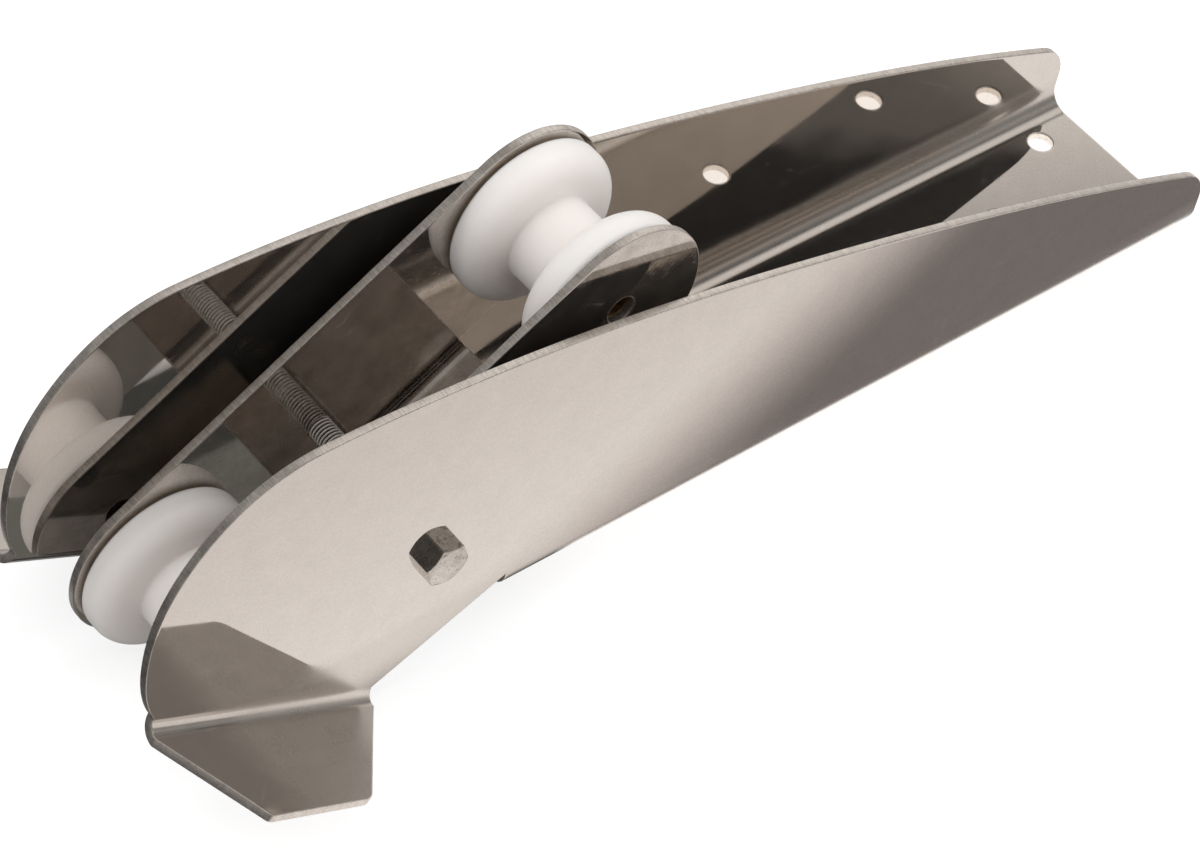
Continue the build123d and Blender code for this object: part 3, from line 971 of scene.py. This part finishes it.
# %% Polishing group
polish, given, result = new_group(
    "polishing_marks",
    {"Grain": 1.0, "Waves": 1.0, "Scratches": 1.0, "Mottle": 0.0, "Pits": 0.0},
    ["Height", "Roughness", "Tone", "Wear"],
)
place = object_place(polish)
grain = noise(polish, place, 1500.0, 2.0, 0.6)
cloud = noise(polish, place, 90.0, 4.0, 0.6)
wave = noise(polish, place, 14.0, 1.0)

drawn_out = add_node(polish, "ShaderNodeMapping", Vector=place)
set_inputs(polish, drawn_out, {"Rotation": (0.2, 0.3, 0.25), "Scale": (0.3, 1.0, 1.0)})
border = cell_distance(polish, drawn_out.outputs[0], 30.0, "DISTANCE_TO_EDGE")
hairline = spread(polish, border, 0.0015, 0.006, 1.0, 0.0)
broken = maths(polish, "MULTIPLY", hairline, spread(polish, cloud, 0.52, 0.66))
scratch = maths(polish, "MULTIPLY", broken, given["Scratches"])
hollow = spread(polish, noise(polish, place, 650.0, 2.0), 0.60, 0.70)
pit = maths(polish, "MULTIPLY", hollow, given["Pits"])
dot = spread(polish, cell_distance(polish, place, 700.0), 0.05, 0.15, 1.0, 0.0)
speck = maths(polish, "MULTIPLY", dot, spread(polish, wave, 0.35, 0.6))

grain_high = maths(polish, "MULTIPLY", maths(polish, "SUBTRACT", grain, 0.5), given["Grain"])
height = maths(polish, "MULTIPLY", wave, given["Waves"])
for mark, depth in ((grain_high, 0.002), (scratch, -0.02), (pit, -0.15)):
    height = maths(polish, "MULTIPLY_ADD", mark, depth, height)
roughness = maths(polish, "ADD", maths(polish, "ADD", scratch, pit), cloud)
cloud_off = maths(polish, "SUBTRACT", cloud, 0.5)
patches = maths(polish, "MULTIPLY_ADD", cloud_off, given["Mottle"], 0.5)
tone = maths(polish, "SUBTRACT", maths(polish, "ADD", patches, grain_high), pit)
tone.node.use_clamp = True
wear = maths(polish, "MAXIMUM", scratch, speck)
set_inputs(polish, result, {"Height": height, "Roughness": roughness, "Tone": tone, "Wear": wear})
print("nodes in the polishing group:", len(polish.nodes))


# %% [markdown]
# ## Steel of the sheets, the bolt and the axles
# Every steel is the same metal with another finish: the channel is a mirror, the arm is cloudier,
# the bolt is duller, and the tubes have a golden tint from the heat of welding. Dust and scratches
# scatter light, so there the metal is a little less metallic than the mirror beside them.

# %% Steel
MARK_DEPTH = 0.0002
WEAR_LOSS = 0.22


def steel(name, dark, light, metallic, shine, **marks_wanted):
    """Metal whose colour, roughness and relief follow the polishing marks.

    The colour goes from dark to light with the tone, the roughness over the two values of shine
    with the marks' own roughness, and the metallic share falls by WEAR_LOSS where there is wear.
    """
    material, tree, shader = new_material(name)
    marks = use_group(tree, polish, **marks_wanted)
    finish = {
        "Metallic": spread(tree, marks["Wear"], 0.0, 1.0, metallic, metallic - WEAR_LOSS),
        "Base Color": blend(tree, marks["Tone"], dark, light),
        "Roughness": spread(tree, marks["Roughness"], 0.3, 0.7, *shine),
        "Normal": relief(tree, marks["Height"], MARK_DEPTH),
    }
    set_inputs(tree, shader, finish)
    print("finish:", name)
    return material


sheet_steel = steel(
    "polished_stainless", (0.58, 0.54, 0.50), (0.77, 0.715, 0.665), 0.972, (0.015, 0.05),
    Grain=1.0, Waves=1.0, Scratches=0.45, Mottle=0.5, Pits=0.012
)
arm_steel = steel(
    "polished_arm_stainless", (0.46, 0.415, 0.375), (0.76, 0.70, 0.65), 0.955, (0.02, 0.09),
    Grain=1.0, Waves=1.0, Scratches=0.8, Mottle=1.6, Pits=0.2
)
bolt_steel = steel(
    "turned_bolt_steel", (0.30, 0.27, 0.24), (0.74, 0.69, 0.64), 0.96, (0.10, 0.22),
    Grain=1.0, Waves=0.3, Scratches=0.4, Mottle=2.0, Pits=0.6
)
tube_steel = steel(
    "axle_tube_steel", (0.50, 0.34, 0.16), (0.78, 0.60, 0.36), 0.96, (0.20, 0.35),
    Grain=1.0, Waves=0.5, Scratches=0.4, Mottle=1.6, Pits=0.5
)

# %% [markdown]
# ## Rougher folds
# Bending stretches the outside of a sheet and opens its polish, so the channel's folds shine more
# softly than its flats. No mask needs to be painted for this: the folds are where the sheet lies
# at a certain distance from the centre line, and the floor's folds are also low down.

# %% Roughness of the channel's folds
FLOOR_FOLD_ROUGH = 0.25
WING_FOLD_ROUGH = 0.125


def roughen_folds(material):
    """Adds roughness between two distances from the centre line, fading over its last part."""
    tree = material.node_tree
    socket = tree.nodes["Principled BSDF"].inputs["Roughness"]
    polished = socket.links[0].from_socket
    spot = parts_of(tree, object_place(tree))
    sideways = maths(tree, "ABSOLUTE", spot["Y"])
    past_floor = spread(tree, sideways, 31 * MM, 35 * MM)
    low_down = spread(tree, spot["Z"], 12 * MM, 24 * MM, FLOOR_FOLD_ROUGH, 0.0)
    past_cheek = spread(tree, sideways, 45.1 * MM, 45.8 * MM)
    before_wing = spread(tree, sideways, 49 * MM, 51 * MM, WING_FOLD_ROUGH, 0.0)
    floor_fold = maths(tree, "MULTIPLY", past_floor, low_down)
    wing_fold = maths(tree, "MULTIPLY", past_cheek, before_wing)
    bent = maths(tree, "MAXIMUM", floor_fold, wing_fold)
    tree.links.new(maths(tree, "ADD", polished, bent), socket)


roughen_folds(sheet_steel)
print("roughness added in the folds:", FLOOR_FOLD_ROUGH, WING_FOLD_ROUGH)

# %% [markdown]
# ## The rolled thread
# A thread shows as fine bright and dark lines. Mirrored surroundings alone would wash its ridges
# out at this size, so the thread is painted paler and less metallic than the head as a painted
# highlight on its crests, and its roots are painted nearly black, partly oil and partly painted
# shade.
# The distance of a point from the bolt's axis tells whether it is on a crest or in a root.

# %% Thread finish
ROOT_RADIUS = 4.3
CREST_RADIUS = 4.85

# Pale, less metallic thread colour: a painted highlight on the crests.
thread_steel = steel(
    "rolled_thread_steel", (0.80, 0.73, 0.66), (0.98, 0.92, 0.86), 0.42, (0.20, 0.34),
    Grain=1.0, Waves=0.3, Scratches=0.4, Mottle=1.2, Pits=0.4
)


def shade_thread_roots(material, root_shade_colour):
    """Blends from the roots' painted shade to the crest's colour as the distance from the axis
    grows.
    """
    tree = material.node_tree
    socket = tree.nodes["Principled BSDF"].inputs["Base Color"]
    crest_colour = socket.links[0].from_socket
    spot = parts_of(tree, object_place(tree))
    ahead = maths(tree, "SUBTRACT", spot["X"], PIVOT[0] * MM)
    above = maths(tree, "SUBTRACT", spot["Z"], PIVOT[1] * MM)
    flat = add_node(tree, "ShaderNodeCombineXYZ", X=ahead, Y=above).outputs[0]
    from_axis = vector_maths(tree, "LENGTH", flat, out="Value")
    on_crest = spread(tree, from_axis, ROOT_RADIUS * MM, CREST_RADIUS * MM)
    tree.links.new(blend(tree, on_crest, root_shade_colour, crest_colour), socket)


# Near-black root colour: painted shade in the thread's roots, with some oil.
shade_thread_roots(thread_steel, (0.03, 0.025, 0.02))
print("thread darkens from a radius of", CREST_RADIUS, "to", ROOT_RADIUS, "mm")

# %% [markdown]
# ## Ground sheet edges
# The cut edges were run over a belt, so very fine lines lie across the sheet's thickness, with
# darker spots where the belt missed the cut. Across the sheet is the Y direction on every cheek.
# Squeezing Y in the texture's coordinates draws the noise out into such lines.

# %% Edge material
LINE_DEPTH = 0.00002

edge_steel, tree, shader = new_material("linished_edge")
place = object_place(tree)
squeezed = add_node(tree, "ShaderNodeMapping", Vector=place, Scale=(1.0, 0.12, 1.0)).outputs[0]
lines = noise(tree, squeezed, 1900.0, 2.0, 0.6)
spots = noise(tree, place, 220.0, 3.0, 0.6)
bright = spread(tree, maths(tree, "MULTIPLY_ADD", spots, 0.7, lines), 0.55, 1.10)
edge_finish = {
    "Metallic": 0.90,
    "Base Color": blend(tree, bright, (0.55, 0.495, 0.445), (0.96, 0.90, 0.84)),
    "Roughness": spread(tree, spots, 0.3, 0.7, 0.30, 0.45),
    "Normal": relief(tree, lines, LINE_DEPTH),
}
set_inputs(tree, shader, edge_finish)
print("finish:", edge_steel.name)

# %% [markdown]
# ## White nylon
# Nylon lets light in a little and gives it back softly, so its shaded side stays pale. Subsurface
# scattering does this, and a faint cloud keeps the white from being one flat colour.

# %% Nylon
LIGHT_DEPTH = 0.007


def nylon(name, low, high):
    """White plastic with soft light inside it, a faint cloud and fine marks from the mould."""
    material, tree, shader = new_material(name)
    place = object_place(tree)
    fine = noise(tree, place, 500.0, 2.0)
    finish = {
        "Base Color": blend(tree, noise(tree, place, 30.0, 3.0), low, high),
        "Roughness": spread(tree, fine, 0.0, 1.0, 0.32, 0.48),
        "Normal": relief(tree, fine, LINE_DEPTH),
        "Subsurface Weight": 0.7,
        "Subsurface Radius": (1.0, 0.9, 0.8),
        "Subsurface Scale": LIGHT_DEPTH,
    }
    set_inputs(tree, shader, finish)
    print("finish:", name)
    return material


roller_nylon = nylon("white_roller_nylon", (0.86, 0.81, 0.775), (0.92, 0.88, 0.85))
ring_nylon = nylon("lock_ring_nylon", (0.70, 0.70, 0.68), (0.82, 0.82, 0.80))

# %% [markdown]
# ## Putting the finishes on
# A folded sheet has two slots, one for its polished faces and one for its ground rim. All the
# fasteners share the bolt's steel. The CAD nodes get it too, although they are hidden here.

# %% Put the finishes on
finishes = {
    folded_base: [sheet_steel, edge_steel],
    folded_arm: [arm_steel, edge_steel],
    rollers["front"]: [roller_nylon],
    rollers["rear"]: [roller_nylon],
    bolt_rod: [thread_steel],
    axles["front"]: [tube_steel],
    axles["rear"]: [tube_steel],
    lock_ring: [ring_nylon],
}
for piece, *_ in pieces:
    for material in finishes.get(piece, [bolt_steel]):
        piece.data.materials.append(material)
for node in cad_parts.values():
    node.data.materials.clear()
    node.data.materials.append(bolt_steel)
print("materials:", len(bpy.data.materials))

# %% [markdown]
# ## The table
# The object stands on its wings and on the rear edge of its floor, so the table slopes a little
# against it: the wings' lowest points lie a drop below that edge and a run ahead of it. The table
# is plain white to the camera. Polished metal shows the room more than itself. For glossy rays
# alone the table turns into painted shadow and painted light round the object, so neither the page
# nor the shadow changes.

# %% Table
WING_DROP = 22.5
WING_RUN = 431.0
REST_SLOPE = WING_DROP / WING_RUN
TABLE_REACH = 4.0
TABLE_GAP = 0.0002


def stage_object(name, points, faces):
    """Mesh of the studio, which isn't part of the object."""
    mesh = bpy.data.meshes.new(name)
    mesh.from_pydata([tuple(p) for p in points], [], [list(f) for f in faces])
    thing = bpy.data.objects.new(name, mesh)
    bpy.context.scene.collection.objects.link(thing)
    return thing


table_x = TABLE_REACH * np.array([-1, 1, 1, -1])
table_y = TABLE_REACH * np.array([-1, -1, 1, 1])
table_z = -(table_x - FLOOR_REAR * MM) * REST_SLOPE - TABLE_GAP
table = stage_object("table", np.stack([table_x, table_y, table_z], 1), [(0, 1, 2, 3)])
table_white, tree, shader = new_material("white_table")
rays = tree.nodes.new("ShaderNodeLightPath").outputs
table_finish = {
    "Base Color": (0.52, 0.52, 0.52, 1),
    "Roughness": 0.9,
    "Specular IOR Level": 0.0,
    "Emission Color": (1, 1, 1, 1),
    "Emission Strength": maths(tree, "MULTIPLY", rays["Is Camera Ray"], 0.70),
}
set_inputs(tree, shader, table_finish)
print("table slopes by", round(float(np.degrees(np.arctan(REST_SLOPE))), 2), "degrees")

# %% [markdown]
# ## Painted shadow and light that only the metal sees
# The table paints three patches into the reflections. Beside the near cheek it is a painted shadow
# of the object, dark close to it and bright past a slanting soft border. Under the channel it is
# painted light below the deck holes and painted shadow below the arm. Ahead of the nose it is dark.

# %% Levels of the painted shadow and light
spot = parts_of(tree, object_place(tree))
sideways = maths(tree, "ABSOLUTE", spot["Y"])
# Beside the near cheek: a painted shadow of the object, dark close to it and lit past a slanting
# soft border.
slanted = maths(tree, "MULTIPLY_ADD", spot["X"], 0.24, spot["Y"])
lit = spread(tree, slanted, 0.105, 0.152, smooth=True)
away = spread(tree, spot["Y"], 0.065, 0.14, 1.04, 0.85)
side_level = spread(tree, lit, 0.0, 1.0, 0.22, away)

# Under the channel: painted light below the deck holes and painted shadow below the arm.
under = maths(tree, "LESS_THAN", sideways, 0.046)
shadow_below_arm = spread(tree, sideways, 0.028, 0.030, 0.15, 0.05)
light_below_holes = spread(tree, spot["X"], -0.024, -0.018, 1.0, 1.35)
under_level = spread(tree, spot["X"], 0.30, 0.31, light_below_holes, shadow_below_arm)

beside = spread(tree, spot["Y"], 0.046, 0.056)
# Ahead of the nose the table is dark.
ahead = spread(tree, spot["X"], 0.515, 0.535)
ahead_loss = spread(tree, ahead, 0.0, 1.0, 1.0, 0.04)
level = spread(tree, under, 0.0, 1.0, side_level, under_level)
level = maths(tree, "MULTIPLY", level, ahead_loss)
on_painted_patch = maths(tree, "MAXIMUM", maths(tree, "MAXIMUM", beside, ahead), under)
in_metal = maths(tree, "MULTIPLY", on_painted_patch, rays["Is Glossy Ray"])

# Colour of the painted shadow, warmer beside the cheek than under the channel.
shade_tint = blend(tree, under, (1, 0.88, 0.86), (1, 1.02, 0.93))
tint = blend(tree, level, shade_tint, (1, 0.965, 0.935))
painted_patch = add_node(tree, "ShaderNodeEmission", Color=tint, Strength=level)
choice = tree.nodes.new("ShaderNodeMixShader")
set_inputs(tree, choice, {0: in_metal, 1: shader.outputs[0], 2: painted_patch.outputs[0]})
tree.links.new(choice.outputs[0], tree.nodes["Material Output"].inputs["Surface"])
table.data.materials.append(table_white)
print("nodes in the table's material:", len(tree.nodes))

# %% [markdown]
# ## The room
# The rest of the reflections come from a dome that only glossy rays see. It is dim, with a few
# soft boxes on it. A soft box is a round patch that brightens as a direction nears its middle, so
# it is written once, as a group, and placed with its own direction, width and light. The same
# group makes the dark patches, which are taken away from the light instead.
# Each patch is listed as its direction, the cosines of the angles at its edge and where it is
# full, and its light. The last dark patch is a flag: a plane through the middle of the dome cuts
# it off straight, as the border of a black card would be.

# %% Soft box
room, given, result = new_group(
    "soft_box",
    {"Direction": None, "Towards": None, "Edge": 0.8, "Full": 0.95, "Light": 1.0},
    ["Light"],
)
unit = vector_maths(room, "NORMALIZE", given["Direction"])
aim = vector_maths(room, "NORMALIZE", given["Towards"])
nearness = vector_maths(room, "DOT_PRODUCT", unit, aim, out="Value")
light = spread(room, nearness, given["Edge"], given["Full"], 0.0, given["Light"], smooth=True)
set_inputs(room, result, {"Light": light})
print("inputs of a soft box:", [item.name for item in room.interface.items_tree])

# %% Dome
DOME_RADIUS = 3.8
DOME_ROWS, DOME_COLUMNS = 24, 48

turn = 2 * np.pi * np.arange(DOME_COLUMNS) / DOME_COLUMNS
rise = np.radians(np.linspace(-20, 90, DOME_ROWS))[:, None]
dome_parts = [np.cos(rise) * np.cos(turn), np.cos(rise) * np.sin(turn), np.sin(rise) + 0 * turn]
dome_points = DOME_RADIUS * np.stack(dome_parts, -1).reshape(-1, 3)
dome_faces = grid_faces(DOME_ROWS, DOME_COLUMNS, False, True)[:, ::-1].tolist()
dome = stage_object("studio_room", dome_points, dome_faces)
dome.visible_camera = False
dome.visible_diffuse = False
dome.visible_shadow = False
dome.visible_transmission = False
dome.visible_volume_scatter = False
print("dome faces:", len(dome_faces))

# %% Lights and dark patches of the room
SOFT_BOXES = {
    "over": ((-0.5, 0.0, 0.866), 0.91, 0.985, 0.85),
    "key": ((-0.66, -0.55, 0.52), 0.958, 0.993, 0.81),
    "front": ((0.6, 0.0, 0.8), 0.75, 0.95, 0.20),
    "rear": ((-0.85, -0.47, 0.27), 0.96, 0.99, 0.45),
    "window": ((-0.76, 0.45, 0.47), 0.965, 0.985, 0.36),
    "upper": ((-0.28, -0.45, 0.85), 0.94, 0.985, 0.48),
}
DARK_PATCHES = {
    "bow": ((0.86, -0.3, 0.42), 0.88, 0.95, 0.85),
    "port_bow": ((0.79, 0.45, 0.42), 0.96, 0.985, 0.7),
}
FLAG = ((-0.5518, 0.4558, 0.6984), 0.965, 0.985, 0.93)
FLAG_SIDE = (0.4644, -0.5103, 0.7239)
FLAG_BORDER = (-0.006, 0.001)


def patch(tree, place, towards, edge, full, light):
    """Light of one soft box in the direction of a place on the dome."""
    return use_group(
        tree, room, Direction=place, Towards=towards, Edge=edge, Full=full, Light=light
    )["Light"]


dome_material, tree, _ = new_material("studio_room")
tree.nodes.clear()
place = object_place(tree)
glow = spread(tree, parts_of(tree, place)["Z"], -0.2, 3.4, 0.30, 0.12, smooth=True)
for box in SOFT_BOXES.values():
    glow = maths(tree, "ADD", glow, patch(tree, place, *box))
kept = 1.0
for dark_patch in DARK_PATCHES.values():
    kept = maths(tree, "SUBTRACT", kept, patch(tree, place, *dark_patch))
unit = vector_maths(tree, "NORMALIZE", place)
side = vector_maths(tree, "DOT_PRODUCT", unit, FLAG_SIDE, out="Value")
flag = maths(tree, "MULTIPLY", patch(tree, place, *FLAG), spread(tree, side, *FLAG_BORDER))
kept = maths(tree, "MULTIPLY", kept, maths(tree, "SUBTRACT", 1.0, flag))
glow = maths(tree, "MULTIPLY", glow, kept)
lit = add_node(tree, "ShaderNodeEmission", Color=(1, 0.965, 0.93, 1), Strength=glow)
set_inputs(tree, tree.nodes.new("ShaderNodeOutputMaterial"), {"Surface": lit.outputs[0]})
dome.data.materials.append(dome_material)
print("soft boxes:", list(SOFT_BOXES), "dark patches:", list(DARK_PATCHES))

# %% [markdown]
# ## Page and lamps
# The world is white where the camera sees it and lights the object at a plain level otherwise.
# Three soft lamps shape the rollers and the shadow. They are hidden from reflections, because the
# metal already sees its own room. Each is listed as its place, its target, its size in metres and
# its power in watts.

# %% World
world = bpy.data.worlds.new("white_page")
bpy.context.scene.world = world
world.use_nodes = True
tree = world.node_tree
rays = tree.nodes.new("ShaderNodeLightPath").outputs
seen = maths(tree, "MAXIMUM", rays["Is Camera Ray"], rays["Is Transmission Ray"])
back = {"Color": (1, 1, 1, 1), "Strength": spread(tree, seen, 0.0, 1.0, 0.68, 1.0)}
set_inputs(tree, tree.nodes["Background"], back)
print("world:", world.name)

# %% Lamps
LAMPS = {
    "key_lamp": ((0.1, -0.3, 1.9), (0.25, 0.0, 0.05), 1.4, 7.0),
    "side_lamp": ((1.5, -0.4, 1.3), (0.3, 0.0, 0.05), 1.4, 6.0),
    "fill_lamp": ((-0.9, 1.2, 1.1), (0.2, 0.0, 0.05), 1.4, 8.0),
}


def soft_lamp(name, place, target, size, power):
    """Square lamp of a size in metres and a power in watts that points at a target."""
    lamp = bpy.data.objects.new(name, bpy.data.lights.new(name, "AREA"))
    bpy.context.scene.collection.objects.link(lamp)
    lamp.location = place
    lamp.rotation_euler = (Vector(target) - Vector(place)).to_track_quat("-Z", "Y").to_euler()
    lamp.data.size = size
    lamp.data.energy = power
    lamp.visible_glossy = False
    lamp.visible_camera = False


for name, settings in LAMPS.items():
    soft_lamp(name, *settings)
print("lamps:", list(LAMPS))
